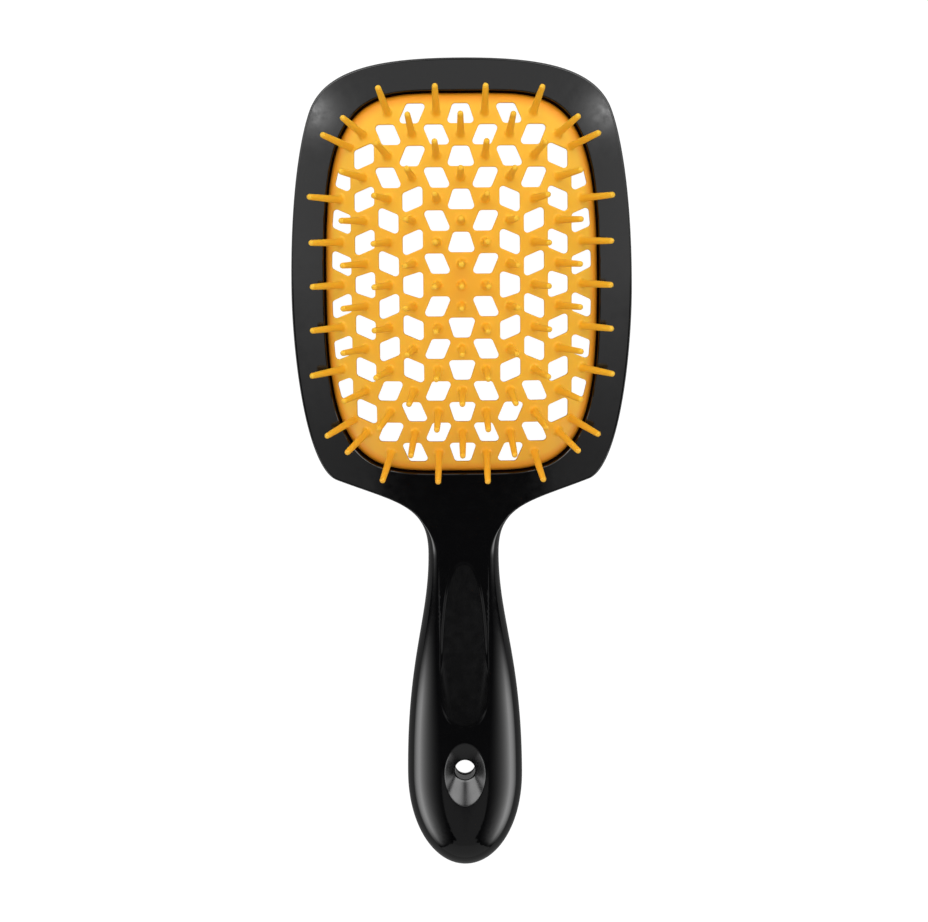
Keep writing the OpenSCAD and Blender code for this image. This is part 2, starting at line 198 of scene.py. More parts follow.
# %% The skin
class Skin:
    """Points, faces and true normals of one closed moulding, in millimetres."""

    def __init__(self):
        self.points, self.faces, self.normals, self.textures = [], [], {}, []

    def ring(self, places, heights):
        first = len(self.points)
        rows = np.column_stack([places, np.broadcast_to(heights, len(places))])
        self.points.extend(rows.tolist())
        return np.arange(first, first + len(rows))

    def strips(self, *rings):
        for a, b in zip(rings, rings[1:]):
            self.faces.extend(zip(a, np.roll(a, -1), np.roll(b, -1), b))

    def fill(self, loops, spacing, surface, facing=1):
        """Fills the first loop, round the others, with an even grid that lies on the surface. Facing is 1 for a
        face that looks up, -1 for one that looks down, and 0 where the normals are left to the mesh."""
        ids = np.concatenate(loops)
        rim = np.array([self.points[i] for i in ids])[:, :2]
        sizes = [len(loop) for loop in loops]
        starts = np.concatenate([[0], np.cumsum(sizes)[:-1]])
        edges = [(s + k, s + (k + 1) % n) for s, n in zip(starts, sizes) for k in range(n)]
        tails, heads = rim[[a for a, b in edges]], rim[[b for a, b in edges]]
        low, high = rim.min(0), rim.max(0)
        rows = np.arange(low[1], high[1], spacing * math.sqrt(3) / 2)
        grid = np.array([(x + spacing / 2 * (k % 2), y) for k, y in enumerate(rows)
                         for x in np.arange(low[0], high[0], spacing)])
        grid = grid[is_within(grid, tails, heads)]
        tree = KDTree(len(rim))
        for k, (x, y) in enumerate(rim):
            tree.insert((x, y, 0), k)
        tree.balance()
        clear = 0.6 * spacing
        grid = np.array([p for p in grid if tree.find((p[0], p[1], 0))[2] > clear]).reshape(-1, 2)
        flat = np.vstack([rim, grid])
        made = delaunay_2d_cdt([Vector(p) for p in flat], [(int(a), int(b)) for a, b in edges], [], 0, 1e-7)
        source = np.array([members[0] for members in made[3]])
        triangles = source[np.array(made[2])]
        triangles = triangles[is_within(flat[triangles].mean(1), tails, heads)]
        number = np.concatenate([ids, self.ring(grid, surface(grid))]) if len(grid) else ids
        self.faces.extend(map(tuple, number[triangles]))
        if facing:
            for i, (a, b) in zip(number, slopes(surface, flat)):
                self.normals[int(i)] = (-a * facing, -b * facing, facing)

    def cap(self, ring, place, height):
        """Closes a ring with a fan round one point."""
        tip_point = self.ring([place], height)[0]
        self.faces.extend((a, b, tip_point) for a, b in zip(ring, np.roll(ring, -1)))

    def turn_over(self):
        """Mirrors the skin in the parting plane."""
        self.points = [(x, y, 2 * parting - z) for x, y, z in self.points]
        self.normals = {i: (a, b, -c) for i, (a, b, c) in self.normals.items()}

    def make(self, name):
        mesh = bpy.data.meshes.new(name)
        mesh.from_pydata(np.array(self.points) * MM, [], [tuple(int(i) for i in f) for f in self.faces])
        shape = bmesh.new()
        shape.from_mesh(mesh)
        bmesh.ops.recalc_face_normals(shape, faces=shape.faces)
        loose = sum(not edge.is_manifold for edge in shape.edges)
        volume = shape.calc_volume() / MM**3
        shape.to_mesh(mesh)
        shape.free()
        mesh.shade_smooth()
        normals = [vertex.normal.copy() for vertex in mesh.vertices]
        for i, normal in self.normals.items():
            normals[i] = Vector(normal).normalized()
        mesh.normals_split_custom_set_from_vertices(normals)
        textured = mesh.attributes.new("textured", "FLOAT", "FACE")
        for first, last, amount in self.textures:
            for k in range(first, last):
                textured.data[k].value = amount
        piece = bpy.data.objects.new(name, mesh)
        bpy.context.scene.collection.objects.link(piece)
        print(f"{name}: {len(mesh.polygons)} faces, {loose} open edges, {volume / 1000:.2f} cm3")
        return piece


# %% [markdown]
# ## Loops that the shells share
# The window is a rounded rectangle whose corners come from a superellipse, drawn in a little towards its ends. The
# thumb rest is an egg, and the dish round the hang hole is an oval that narrows to the round hole. Their points are
# spaced evenly, and the rings of an edge are the same loop drawn a little larger or smaller.

# %% The window
window_half = np.array([half_width - frame_side, (top_y - frame_top - shoulder_y) / 2])
window_y = shoulder_y + window_half[1]
pad_gap, rim_power, rim_draw_share, rim_points, fine_points = 0.9, 4.4, 0.085, 260, 7200
rim_half = window_half - pad_gap


def power_of(value, power):
    return np.sign(value) * np.abs(value) ** power


def rim_at(turn, margin):
    down = power_of(np.sin(turn), 2 / rim_power)
    across = power_of(np.cos(turn), 2 / rim_power) * (1 - rim_draw_share * down**2)
    return np.column_stack([(rim_half[0] + margin) * across, (rim_half[1] + margin) * down + window_y])


def evenly(places, total):
    """Where along a closed line total evenly spaced points lie, as a share of its own points."""
    closed = np.vstack([places, places[:1]])
    length = np.concatenate([[0], np.cumsum(np.linalg.norm(np.diff(closed, axis=0), axis=1))])
    return np.interp(np.arange(total) / total * length[-1], length, np.arange(len(closed)))


fine = np.arange(fine_points) * 2 * math.pi / fine_points
rim_turns = evenly(rim_at(fine, 0), rim_points) * fine[1]


def rim_loop(margin):
    return rim_at(rim_turns, margin)


print("window:", (2 * window_half).round(1), "mm")

# %% The thumb rest's egg
thumb_low, thumb_length, thumb_half, egg_points = end_y + 39.4, 43.8, 6.6, 150
egg = np.vstack([
    curve(thumb_half, thumb_low, thumb_length, [[0, 1], [0.85, 1], [0.84, 0.6], [1, 0.27]], 60),
    curve(thumb_half, thumb_low, thumb_length, [[1, 0.27], [1.06, 0.1], [0.66, 0], [0, 0]], 40),
    [[0, thumb_low]]])
egg = np.vstack([egg, egg[-2:0:-1] * [-1, 1]])
where = evenly(egg, egg_points)
egg = np.column_stack([np.interp(where, np.arange(len(egg) + 1), np.append(egg[:, k], egg[0, k])) for k in (0, 1)])
egg_along = np.roll(egg, -1, 0) - np.roll(egg, 1, 0)
egg_outward = np.column_stack([-egg_along[:, 1], egg_along[:, 0]]) / np.linalg.norm(egg_along, axis=1)[:, None]
print("thumb rest:", np.ptp(egg, axis=0).round(1), "mm")

# %% The dish's oval and the hang hole
hang_y, bore_radius = end_y + 27.1, 2.7
dish_half, dish_offset = np.array([5.45, 8.5]), np.array([0, -0.6])
dish_turns = np.radians(np.arange(0, 360, 3))
dish_circle = np.column_stack([np.cos(dish_turns), np.sin(dish_turns)])


def bore_ring(radius):
    return dish_circle * radius + [0, hang_y]


def dish_ring(share):
    """A ring that lies the given share of the way from the dish's oval rim to the hole."""
    return (dish_circle * dish_half + dish_offset + [0, hang_y]) * (1 - share) + bore_ring(bore_radius) * share


print("dish:", 2 * dish_half, "mm round a hole of", 2 * bore_radius, "mm")

# %% [markdown]
# ## The two shells
# Both shells are the same kind of shape, so the same functions build them. They walk from the parting line over the
# rounded edge, and go down the window, the dish and the thumb rest. Then one fill closes the face between all of
# these. Every edge has the small radius that a mould gives, because that is where gloss plastic catches the light.

# %% The rounded edge
# The first two rings make the fine groove that shows where the shells meet. The last ring lies just past the round,
# on the level face, so that the round's normals stay out of the fill.
groove, edge_steps, edge_reach, flat_start = 0.12, 12, 3.2, 0.15


def add_edge(skin, surface, rise, edge):
    """Gives the lowest and the innermost ring."""
    widest_turn = np.arccos(1 - np.minimum(1, edge_reach / edge))
    rings = [skin.ring(outline - outward * groove, parting), skin.ring(outline, parting + groove)]
    for k in range(1, edge_steps + 1):
        turn = widest_turn * k / edge_steps
        places = outline - outward * (edge * (1 - np.cos(turn)))[:, None]
        rings.append(skin.ring(places, parting + rise(places[:, 1]) * np.sin(turn)))
    places = places - outward * flat_start
    rings.append(skin.ring(places, surface(places)))
    skin.strips(*rings)
    return rings[0], rings[-1]


# %% The window's wall
fillet_steps, window_fillet = 5, 0.35


def quarter(steps):
    """Sines and cosines' complements over a quarter turn, for fillets."""
    turn = np.linspace(0, math.pi / 2, steps + 1)
    return list(zip(np.sin(turn), 1 - np.cos(turn)))


def add_window_wall(skin, surface, window_steps):
    """Gives the lowest and the highest ring. A step is a margin round the pad and a height."""
    wall = []
    for along_face, down in quarter(fillet_steps):
        places = rim_loop(window_steps[0][0] + window_fillet * (1 - along_face))
        wall.append(skin.ring(places, surface(places) - window_fillet * down))
    for margin, height in window_steps:
        wall.append(skin.ring(rim_loop(margin), height))
    skin.strips(*wall)
    return wall[-1], wall[0]


# %% The dish
# The dish is a straight-sided cone with a soft rim. The hole's edge is rounded by two rings of its own.
dish_soft, dish_end, dish_rim_rings, dish_wall_rings, dish_texture = 0.05, 0.97, 7, 12, 1.5
bore_fillet = [(0.03, 0.12), (0, 0.3)]


def add_dish(skin, surface, dish_floor):
    """Gives the lowest and the highest ring."""
    scoop = []
    lip = surface(dish_ring(0))
    shares = np.linspace(-dish_soft, dish_soft, dish_rim_rings), np.linspace(dish_soft, dish_end, dish_wall_rings)
    for share in np.concatenate([shares[0], shares[1][1:]]):
        places = dish_ring(share)
        fall = share if share > dish_soft else (share + dish_soft) ** 2 / (4 * dish_soft)
        scoop.append(skin.ring(places, (surface(places) if share < 0 else lip) + (dish_floor - lip) * fall))
    for grow, drop in bore_fillet:
        scoop.append(skin.ring(bore_ring(bore_radius + grow), dish_floor - drop))
    scoop.append(skin.ring(bore_ring(bore_radius), parting))
    first = len(skin.faces)
    skin.strips(*scoop)
    skin.textures.append((first, len(skin.faces), dish_texture))
    return scoop[-1], scoop[0]


# %% The thumb rest
thumb_depth, thumb_soft_edge, thumb_rings, thumb_spacing, thumb_texture = 0.07, 0.5, 7, 1.0, 1.0


def add_thumb_rest(skin, surface):
    """Gives the outermost ring."""
    slope = []
    for share in np.linspace(0, 1, thumb_rings):
        places = egg + egg_outward * thumb_soft_edge * (1 - 2 * share)
        slope.append(skin.ring(places, surface(places) - thumb_depth * ease(share)))
    skin.strips(*slope)
    first = len(skin.faces)
    skin.fill([slope[-1]], thumb_spacing, lambda places: surface(places) - thumb_depth)
    skin.textures.append((first, len(skin.faces), thumb_texture))
    return slope[0]


# %% A whole shell
face_spacing, inside_spacing = 0.75, 6


def build_shell(rise, edge, dish_floor, window_steps, has_thumb_rest):
    skin = Skin()

    def surface(places):
        return parting + shell_height(places, rise, edge)

    loops = [add_edge(skin, surface, rise, edge), add_window_wall(skin, surface, window_steps),
             add_dish(skin, surface, dish_floor)]
    low_loops, face_loops = map(list, zip(*loops))
    if has_thumb_rest:
        face_loops.append(add_thumb_rest(skin, surface))
    skin.fill(face_loops, face_spacing, surface)
    skin.fill(low_loops, inside_spacing, lambda places: np.full(len(places), parting), 0)
    return skin


# %% The front shell
flange_clearance, ledge_height, front_dish_depth, front_gap = 0.1, parting + 1.1, 3.2, 0.55
front = build_shell(front_rise, front_edge, belly_height - front_dish_depth,
                    [(front_gap, ledge_height), (flange_clearance, ledge_height), (flange_clearance, parting)],
                    True).make("front_shell_gloss")

# %% [markdown]
# The back shell is the same shape upside down. It is built the right way up, at its own heights, and then mirrored
# in the parting plane. Its window wall steps out at the pocket that holds the pad's flange.

# %% The back shell
flange_reach, flange_thickness, back_dish_depth = 2.8, 1.6, 3.0
flange_top = parting - flange_clearance
flange_bottom = flange_top - flange_thickness
pocket_margin = pad_gap + flange_reach + flange_clearance
pocket_height = 2 * parting - flange_bottom
back_skin = build_shell(back_rise, back_edge, 2 * parting - back_dish_depth,
                        [(pad_gap, pocket_height), (pocket_margin, pocket_height), (pocket_margin, parting)], False)
back_skin.turn_over()
back = back_skin.make("back_shell_gloss")

# %% [markdown]
# ## The pad
# The pad is one soft moulding: a crowned sheet, open as a lattice, with a pin on the crossings between the openings.
# The crown is highest in the middle and drops to the rim. Openings and pins take turns on an even grid, like the
# black and white squares of a board, and the openings lean this way and that, which gives the star-like pattern.

# %% The crown
pad_sink, pad_crown, pad_thickness = 1.6, 8.8, 1.9
rim_height = frame_height - pad_sink
crown_across, crown_along = 2.6, 3.5


def crown(places):
    """Height of the pad's face."""
    x, y = places[:, 0], places[:, 1] - window_y
    v = np.minimum(1, np.abs(y) / rim_half[1])
    u = np.abs(x) / rim_half[0] / (1 - rim_draw_share * v**2)
    share = np.minimum(1, (u**rim_power + v**rim_power) ** (1 / rim_power))
    side, end = (x / rim_half[0]) ** 2, (y / rim_half[1]) ** 2
    turn = side / np.maximum(side + end, 1e-9)
    return rim_height + pad_crown * (1 - share ** (crown_along + (crown_across - crown_along) * turn))


print(f"crown: from {rim_height:.1f} mm at the rim to {rim_height + pad_crown:.1f} mm")

# %% Which places hold an opening, and its corners
column_pitch, row_pitch = 6.23, 5.49
opening_size = np.array([5.2, 5.2])
opening_lean, opening_radius, opening_margin = 2.2, 0.95, 1.65
columns, rows, shortest_side = 5, 8, 1.3
corner_shift_share = 0.43


def is_opening(i, j):
    at_corner = abs(i) == columns and abs(j) > rows - 3
    return (i + j) % 2 == 0 and (i, j) != (0, 0) and not at_corner and (abs(i), abs(j)) != (columns - 1, rows)


def opening_corners(i, j):
    """Corners of an opening round its own middle, anticlockwise or clockwise."""
    level = abs(i) <= 1 or (abs(i) < columns - 1 and abs(j) >= rows - 3)
    edge, height = opening_size if level and j != 0 else opening_size[::-1]
    e, h, lean = edge / 2, height / 2, opening_lean / 2
    if i == 0 or j == 0:
        wide, narrow = e + lean, e - lean / 2
        corners = np.array([[-wide, -h], [wide, -h], [narrow, h], [-narrow, h]])
    else:
        lean *= (-1 if i % 2 == 0 else 1) * np.sign(i) * np.sign(j)
        corners = np.array([[-e - lean, -h], [e - lean, -h], [e + lean, h], [-e + lean, h]])
    if i == 0:
        return corners * [1, np.sign(j)]
    if j == 0:
        return corners[:, ::-1] * [np.sign(i), 1]
    return corners if level else corners[:, ::-1]


# %% Cutting an opening off at the rim
def clipped(corners, limit):
    """What is left of a figure on the inner side of the rim: a point and an outward direction."""
    point, away = limit
    depth = (corners - point) @ away
    kept = []
    for a, b, da, db in zip(corners, np.roll(corners, -1, 0), depth, np.roll(depth, -1)):
        if da <= 0:
            kept.append(a)
        if (da < 0) != (db < 0):
            kept.append(a + (b - a) * da / (da - db))
    kept = np.array(kept)
    sides = np.linalg.norm(np.roll(kept, -1, 0) - kept, axis=1)
    if sides.min() < shortest_side:
        k = sides.argmin()
        kept[k] = (kept[k] + kept[(k + 1) % len(kept)]) / 2
        kept = np.delete(kept, (k + 1) % len(kept), 0)
    return kept


# %% Rounding an opening's corners
def rounded(corners, radius, grow, arc_steps=6, side_steps=4):
    """A figure with round corners, grown all round."""
    if np.cross(corners[1] - corners[0], corners[2] - corners[1]) < 0:
        corners = corners[::-1]
    arcs = []
    for before, here, after in zip(np.roll(corners, 1, 0), corners, np.roll(corners, -1, 0)):
        lengths = np.linalg.norm(here - before), np.linalg.norm(after - here)
        one, two = (here - before) / lengths[0], (after - here) / lengths[1]
        first_out, last_out = np.array([one[1], -one[0]]), np.array([two[1], -two[0]])
        turn = math.acos(np.clip(first_out @ last_out, -1, 1))
        bisector = (first_out + last_out) / np.linalg.norm(first_out + last_out)
        bend = min(radius, 0.48 * min(lengths) / math.tan(turn / 2))
        middle = here - bisector * bend / math.cos(turn / 2)
        angles = math.atan2(first_out[1], first_out[0]) + turn * np.arange(arc_steps + 1) / arc_steps
        arcs.append(middle + (bend + grow) * np.column_stack([np.cos(angles), np.sin(angles)]))
    loop = []
    for arc, following in zip(arcs, arcs[1:] + arcs[:1]):
        loop.extend(arc)
        loop.extend(arc[-1] + (following[0] - arc[-1]) * k / side_steps for k in range(1, side_steps))
    return np.array(loop)


# %% All the openings and pins
limit = rim_loop(-opening_margin)
limit_along = np.roll(limit, -1, 0) - np.roll(limit, 1, 0)
limit_out = np.column_stack([limit_along[:, 1], -limit_along[:, 0]]) / np.linalg.norm(limit_along, axis=1)[:, None]
grid_places = [(i, j) for i in range(-columns, columns + 1) for j in range(-rows, rows + 1)]
openings = []
for i, j in grid_places:
    if is_opening(i, j):
        corners = opening_corners(i, j) + [i * column_pitch, j * row_pitch + window_y]
        farthest = corners[np.abs(corners - [0, window_y]).sum(1).argmax()]
        nearest = np.linalg.norm(limit - farthest, axis=1).argmin()
        openings.append(clipped(corners, (limit[nearest], limit_out[nearest])))
pins = []
for i, j in grid_places:
    if (i, j) == (0, 0) or ((i + j) % 2 and not (abs(i) == columns and abs(j) >= rows)):
        shift = corner_shift_share if abs(i) == columns and abs(j) == rows - 2 else 0
        pins.append(((i - np.sign(i) * shift) * column_pitch, (j + np.sign(j) * shift) * row_pitch + window_y))
print(len(openings), "openings and", len(pins), "pins")

# %% [markdown]
# ## Building the pad
# The face of the pad is one fill with two kinds of hole in it. Into an opening's hole goes a wall with soft edges.
# Out of a pin's hole grows the pin: a hollow fillet, because soft plastic would tear at a sharp corner, then a slow
# taper, then a round end that is kind to the scalp. A pin stands square to the crown, so the pins fan out. At the
# rim the sheet turns down into a skirt, and the skirt stands on the flange that the shells clamp.

# %% The openings' walls
pin_length, pin_root, pin_tip, pin_fillet, clear_strip, pin_sides, stem_steps = 15.0, 1.0, 0.75, 0.8, 0.12, 20, 4
soft_edge, soft_steps, under_edge, under_steps = 0.3, 4, 0.25, 3
pad = Skin()


def underside(places):
    return crown(places) - pad_thickness


face_holes, under_holes = [], []
for corners in openings:
    wall = []
    for along_face, down in quarter(soft_steps):
        places = rounded(corners, opening_radius, soft_edge * (1 - along_face))
        wall.append(pad.ring(places, crown(places) - soft_edge * down))
    for down, along_face in quarter(under_steps):
        places = rounded(corners, opening_radius, under_edge * along_face)
        wall.append(pad.ring(places, underside(places) + under_edge * (1 - down)))
    pad.strips(*wall)
    face_holes.append(wall[0])
    under_holes.append(wall[-1])
print(f"opening walls: {len(pad.faces)} faces")

# %% The pins
pin_turns = np.arange(pin_sides) * 2 * math.pi / pin_sides
pin_circle = np.column_stack([np.cos(pin_turns), np.sin(pin_turns)])
face_edges = np.array([pad.points[i] for hole in face_holes for i in hole])[:, :2]
for x, y in pins:
    foot = np.array([[x, y]])
    room = np.linalg.norm(face_edges - foot, axis=1).min() - pin_root - clear_strip
    fillet = min(pin_fillet, room)
    a, b = slopes(crown, foot)[0]
    up = Vector((-a, -b, 1)).normalized()
    lean = np.array(Vector((0, 0, 1)).rotation_difference(up).to_matrix())
    base = np.array([x, y, crown(foot)[0]])

    def pin_ring(radius, height):
        return base + np.column_stack([pin_circle * radius, np.full(pin_sides, height)]) @ lean.T

    stem = []
    for along_face, up_stem in quarter(fillet_steps):
        places = pin_ring(pin_root + fillet * (1 - along_face), fillet * up_stem)
        heights = crown(places[:, :2]) if not stem else places[:, 2]
        stem.append(pad.ring(places[:, :2], heights))
    for share in np.linspace(0, 1, stem_steps + 1)[1:]:
        height = fillet + (pin_length - pin_tip - fillet) * share
        places = pin_ring(pin_root + (pin_tip - pin_root) * share, height)
        stem.append(pad.ring(places[:, :2], places[:, 2]))
    for up_tip, inward in quarter(fillet_steps)[1:-1]:
        places = pin_ring(pin_tip * (1 - inward), pin_length - pin_tip * (1 - up_tip))
        stem.append(pad.ring(places[:, :2], places[:, 2]))
    end = base + lean @ [0, 0, pin_length]
    pad.strips(*stem)
    pad.cap(stem[-1], end[:2], end[2])
    face_holes.append(stem[0])
print(f"with the pins: {len(pad.faces)} faces")

# %% The rim, the skirt and the flange
rim_round, rim_drop, skirt_fillet, skirt_thickness, under_round = 1.1, 1.2, 0.3, 1.0, 0.15
rim_steps, sheet_spacing, underside_spacing = 6, 0.9, 1.3
inner_height = crown(rim_loop(-rim_round))
rim_rings = []
for t in np.linspace(0, 1, rim_steps + 1):
    bend = [(1 - t) ** 2, 2 * t * (1 - t), t**2]
    heights = inner_height * bend[0] + rim_height * bend[1] + (rim_height - rim_drop) * bend[2]
    rim_rings.append(pad.ring(rim_loop(-rim_round * bend[0]), heights))
flange_margin = pad_gap + flange_reach
skirt_steps = [
    (0, flange_top + skirt_fillet), (skirt_fillet / 3, flange_top + skirt_fillet / 3), (skirt_fillet, flange_top),
    (flange_margin - skirt_fillet, flange_top), (flange_margin, flange_top - skirt_fillet),
    (flange_margin, flange_bottom + skirt_fillet), (flange_margin - skirt_fillet, flange_bottom),
    (skirt_fillet - skirt_thickness, flange_bottom), (-skirt_thickness, flange_bottom + skirt_fillet),
    (-skirt_thickness, rim_height - pad_thickness)]
for margin, height in skirt_steps:
    rim_rings.append(pad.ring(rim_loop(margin), height))
under_rim = rim_loop(-skirt_thickness - under_round)
rim_rings.append(pad.ring(under_rim, underside(under_rim)))
pad.strips(*rim_rings)
pad.fill([rim_rings[0]] + face_holes, sheet_spacing, crown)
pad.fill([rim_rings[-1]] + under_holes, underside_spacing, underside, -1)
pad_piece = pad.make("pin_pad_moulded")

# %% [markdown]
# ## Finishes
# Both plastics are dielectrics, so their shine comes from a clear, colourless reflection on top of the body colour.
# What makes one look like a polished case and the other like a soft grip is how rough that reflection is, and
# how far light gets into the plastic before it comes out again.

# %% Helpers for the materials
MATH, RANGE, XYZ = "ShaderNodeMath", "ShaderNodeMapRange", "ShaderNodeSeparateXYZ"
SOFT = {"interpolation_type": "SMOOTHSTEP"}  # a range that starts and ends gently


def colour(code):
    """An sRGB hex value as linear light."""
    parts = [int(code[k:k + 2], 16) / 255 for k in (1, 3, 5)]
    return [c / 12.92 if c <= 0.04045 else ((c + 0.055) / 1.055) ** 2.4 for c in parts] + [1]


def add(tree, kind, *values, **settings):
    """Adds a node. Values go into its inputs in their order. A setting goes to the property or the input of its name,
    where _ stands for a space. Each may be plain, or come from another node or from one of its outputs."""
    node = tree.nodes.new(kind)
    for key in [key for key in settings if hasattr(node, key)]:
        setattr(node, key, settings.pop(key))
    named = [(node.inputs[key.replace("_", " ")], value) for key, value in settings.items()]
    for socket, value in [*zip(node.inputs, values), *named]:
        source = value.outputs[0] if hasattr(value, "outputs") else value
        if isinstance(source, bpy.types.NodeSocket):
            tree.links.new(source, socket)
        else:
            socket.default_value = source
    return node


def start_material(name):
    material = bpy.data.materials.new(name)
    material.use_nodes = True
    material.node_tree.nodes.clear()
    return material, material.node_tree


# %% [markdown]
# ### Gloss black ABS
# The shells are acrylonitrile butadiene styrene, moulded in a polished tool. The black pigment swallows almost all
# the light, so nearly everything that shows is reflection, with an IOR of about 1.54. A real moulding is never as flat
# as glass: it has a slow waviness from shrinking, and faint rubbing marks that dull the shine in places. In the thumb
# rest and the dish the tool has a fine texture, too fine to draw, so those faces get a rougher shine instead.

# %% The gloss ABS
ripple_mm, rub_mm, ripple_depth_mm = 7.0, 2.2, 0.02
polished, rubbed_dull, texture_adds = 0.05, 0.11, 0.1
abs_gloss, tree = start_material("ABS_black_polished_moulding")
place = add(tree, "ShaderNodeTexCoord").outputs["Object"]
ripple = add(tree, "ShaderNodeTexNoise", Vector=place, Scale=1 / (ripple_mm * MM), Detail=1.0)
rubbing = add(tree, "ShaderNodeTexNoise", Vector=place, Scale=1 / (rub_mm * MM), Detail=5.0, Roughness=0.62)
rubbed = add(tree, RANGE, rubbing.outputs["Fac"], 0.35, 0.7, polished, rubbed_dull)
textured = add(tree, "ShaderNodeAttribute", attribute_name="textured").outputs["Fac"]
texture = add(tree, MATH, textured, texture_adds, operation="MULTIPLY")
rough = add(tree, MATH, rubbed, texture, operation="ADD")
wave = add(tree, "ShaderNodeBump", Strength=0.1, Distance=ripple_depth_mm * MM, Height=ripple.outputs["Fac"])
shader = add(tree, "ShaderNodeBsdfPrincipled", Base_Color=colour("#050506"), IOR=1.54, Roughness=rough, Normal=wave)
add(tree, "ShaderNodeOutputMaterial", shader)
print(abs_gloss.name, "has", len(tree.nodes), "nodes")

# %% [markdown]
# ### Satin orange elastomer
# The pad is a thermoplastic elastomer. It is satin because the tool was lightly blasted, and light enters it and
# spreads for about a millimetre, so thin pins and edges glow a little lighter and more yellow than the thick sheet.
# Along the rim, where the sheet bends down between black walls, and towards the handle, the orange is painted deeper.
# This is painted shade: it stands in for shadow and for light bounced between orange and black, and it is not a colour
# of the plastic. The way to the rim is found as for the crown, with a share of the pad's length and one of its width.
# The blasted grain is
# about a tenth of a millimetre. It is drawn at nearly half a millimetre, because a finer one wouldn't show.

# %% The elastomer's tones, with painted shade at the rim and towards the handle
rim_shade_starts, rim_shade_full, rim_shade_heights_mm = 0.925, 0.985, (3.2, 2.0)
handle_shade_starts_mm, handle_shade_ends_mm, handle_shade_most = 25, 50, 0.35
cloud_mm, grain_mm, grain_depth_mm = 9.0, 0.45, 0.04
elastomer, tree = start_material("TPE_orange_satin_moulding")
place = add(tree, "ShaderNodeTexCoord").outputs["Object"]
x, y, z = add(tree, XYZ, place).outputs
v = add(tree, MATH, add(tree, MATH, y, window_y * MM, operation="SUBTRACT"), rim_half[1] * MM, operation="DIVIDE")
v = add(tree, MATH, v, operation="ABSOLUTE")
draw = add(tree, MATH, add(tree, MATH, v, 2.0, operation="POWER"), rim_draw_share, operation="MULTIPLY")
u = add(tree, MATH, add(tree, MATH, x, operation="ABSOLUTE"), rim_half[0] * MM, operation="DIVIDE")
u = add(tree, MATH, u, add(tree, MATH, 1.0, draw, operation="SUBTRACT"), operation="DIVIDE")
powers = [add(tree, MATH, share, rim_power, operation="POWER") for share in (u, v)]
to_rim = add(tree, MATH, add(tree, MATH, *powers, operation="ADD"), 1 / rim_power, operation="POWER")
# Painted shade: low on the rim and towards the handle, the base colour is mixed to a deeper orange. This stands in for
# shade and is not the plastic's colour.
low = add(tree, RANGE, z, *((rim_height + height) * MM for height in rim_shade_heights_mm), **SOFT)
painted_rim_shade = add(tree, MATH, add(tree, RANGE, to_rim, rim_shade_starts, rim_shade_full, **SOFT), low, operation="MULTIPLY")
painted_handle_shade = add(tree, RANGE, y, (window_y - handle_shade_starts_mm) * MM, (window_y - handle_shade_ends_mm) * MM, 0.0, handle_shade_most)
cloud = add(tree, "ShaderNodeTexNoise", Vector=place, Scale=1 / (cloud_mm * MM), Detail=2.0)
tone = add(tree, "ShaderNodeMix", cloud.outputs["Fac"], data_type="RGBA")
tone.inputs[6].default_value, tone.inputs[7].default_value = colour("#FBBC2E"), colour("#FDC63A")
# The painted shade mix: the plastic's own cloudy tone turns to the deeper orange #FCA024 where the rim or handle shade
# is strongest.
painted_shade_mix = add(tree, "ShaderNodeMix", add(tree, MATH, painted_rim_shade, painted_handle_shade, operation="MAXIMUM"), data_type="RGBA")
tree.links.new(tone.outputs[2], painted_shade_mix.inputs[6])
painted_shade_mix.inputs[7].default_value = colour("#FCA024")

# %% The elastomer
grain = add(tree, "ShaderNodeTexNoise", Vector=place, Scale=1 / (grain_mm * MM), Detail=3.0)
rough = add(tree, RANGE, grain.outputs["Fac"], 0.0, 1.0, 0.38, 0.52)
wave = add(tree, "ShaderNodeBump", Strength=0.12, Distance=grain_depth_mm * MM, Height=grain.outputs["Fac"])
shader = add(tree, "ShaderNodeBsdfPrincipled", Base_Color=painted_shade_mix.outputs[2], IOR=1.49, Specular_IOR_Level=0.3,
             Subsurface_Weight=0.25, Subsurface_Scale=1.2 * MM, Subsurface_Radius=(1.0, 0.45, 0.12),
             Roughness=rough, Normal=wave)
add(tree, "ShaderNodeOutputMaterial", shader)
print(elastomer.name, "has", len(tree.nodes), "nodes")

# %% Dress the pieces
for piece, node, slot, finish in [(front, "front_shell", "black_abs", abs_gloss),
                                  (back, "back_shell", "black_abs", abs_gloss),
                                  (pad_piece, "pin_pad", "orange_elastomer", elastomer)]:
    piece.data.materials.append(finish)
    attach(piece, "root")
    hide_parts(node)
    print(piece.name, "stands for", node, "in", finish.name)

# %% [markdown]
# ## Studio
# The brush lies on a white sweep, seen from above. A gloss black object is drawn by what it reflects, so each light
# is made for one reflection. A wide canopy above the camera greys the frame's level face. It is parted in the middle
# towards the handle, which keeps the neck black. A low strip on each side draws the handle's two long highlights, a dim
# glow beyond the canopy lifts the end of the handle, and two bright spots in the room catch the top corners.

